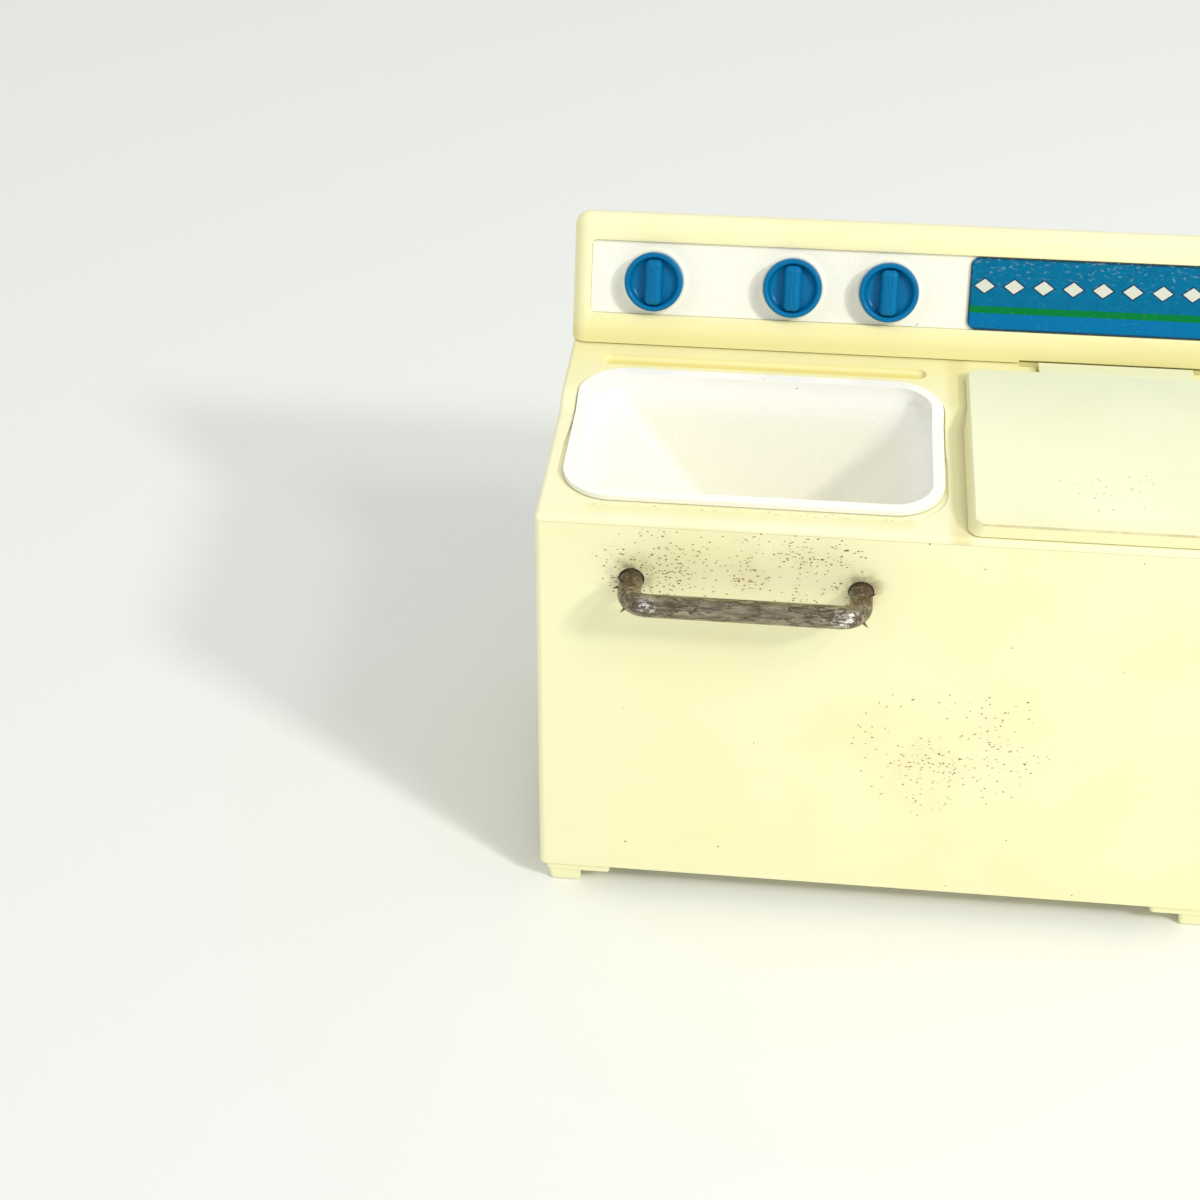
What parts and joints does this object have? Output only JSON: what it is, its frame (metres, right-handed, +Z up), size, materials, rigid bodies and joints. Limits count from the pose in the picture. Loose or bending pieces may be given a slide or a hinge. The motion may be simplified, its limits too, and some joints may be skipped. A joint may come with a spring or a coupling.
{
  "type": "doll's-house twin-unit washing machine",
  "caption": "Cream plastic toy washing machine with a white sink, a hinged wash-tub lid, a tilted back panel with turning blue knobs and a towel rail on its front",
  "frame": {"origin": "middle of the bounding box in plan, on the surface that the feet stand on", "axes": "+X to the machine's right as seen from its front, +Y to the back, +Z up"},
  "size_m": [0.1062, 0.0638, 0.0911],
  "materials": {
    "ivory_plastic": "semi-gloss moulded styrene, lightly yellowed",
    "cream_plastic": "paler and slightly waxy moulded plastic",
    "white_plastic": "glossy white moulded styrene",
    "blue_plastic": "semi-gloss moulded plastic",
    "printed_label": "glossy printed label",
    "worn_silver_plating": "silvery plating on plastic, worn brown",
    "plated_steel": "plated steel"
  },
  "bodies": {
    "body": {"cabinet_shell": "ivory_plastic", "top_deck": "ivory_plastic", "backsplash_frame": "ivory_plastic", "backsplash_cover": "ivory_plastic", "base_plate": "ivory_plastic", "control_panel": "white_plastic", "panel_label": "printed_label", "sink_basin": "white_plastic", "wash_tub": "white_plastic", "towel_rail": "worn_silver_plating", "base_screw_front_left": "plated_steel", "base_screw_rear_left": "plated_steel", "base_screw_front_right": "plated_steel", "base_screw_rear_right": "plated_steel", "frame_screw_left": "plated_steel", "frame_screw_right": "plated_steel", "cover_screw_left": "plated_steel", "cover_screw_right": "plated_steel"},
    "lid": {"washer_lid": "cream_plastic"},
    "left_knob": {"knob_left": "blue_plastic", "knob_left_washer": "plated_steel"},
    "centre_knob": {"knob_centre": "blue_plastic", "knob_centre_washer": "plated_steel"},
    "right_knob": {"knob_right": "blue_plastic", "knob_right_washer": "plated_steel"},
    "agitator_unit": {"agitator": "blue_plastic", "agitator_axle": "plated_steel", "axle_clip": "plated_steel"}
  },
  "joints": [
    {"name": "lid_hinge", "type": "hinge", "parent": "body", "child": "lid", "pos_m": [0.0304, 0.01811, 0.0725], "axis": [-1, 0, 0], "range_deg": [0, 92]},
    {"name": "left_knob_turn", "type": "hinge", "parent": "body", "child": "left_knob", "pos_m": [-0.03973, 0.02412, 0.0825], "axis": [0, -0.9135, 0.4067], "continuous": true},
    {"name": "centre_knob_turn", "type": "hinge", "parent": "body", "child": "centre_knob", "pos_m": [-0.01862, 0.02412, 0.0825], "axis": [0, -0.9135, 0.4067], "continuous": true},
    {"name": "right_knob_turn", "type": "hinge", "parent": "body", "child": "right_knob", "pos_m": [-0.00407, 0.02412, 0.0825], "axis": [0, -0.9135, 0.4067], "continuous": true},
    {"name": "agitator_spin", "type": "hinge", "parent": "body", "child": "agitator_unit", "pos_m": [0.0288, -0.00383, 0.04025], "axis": [0, 0, 1], "continuous": true}
  ]
}
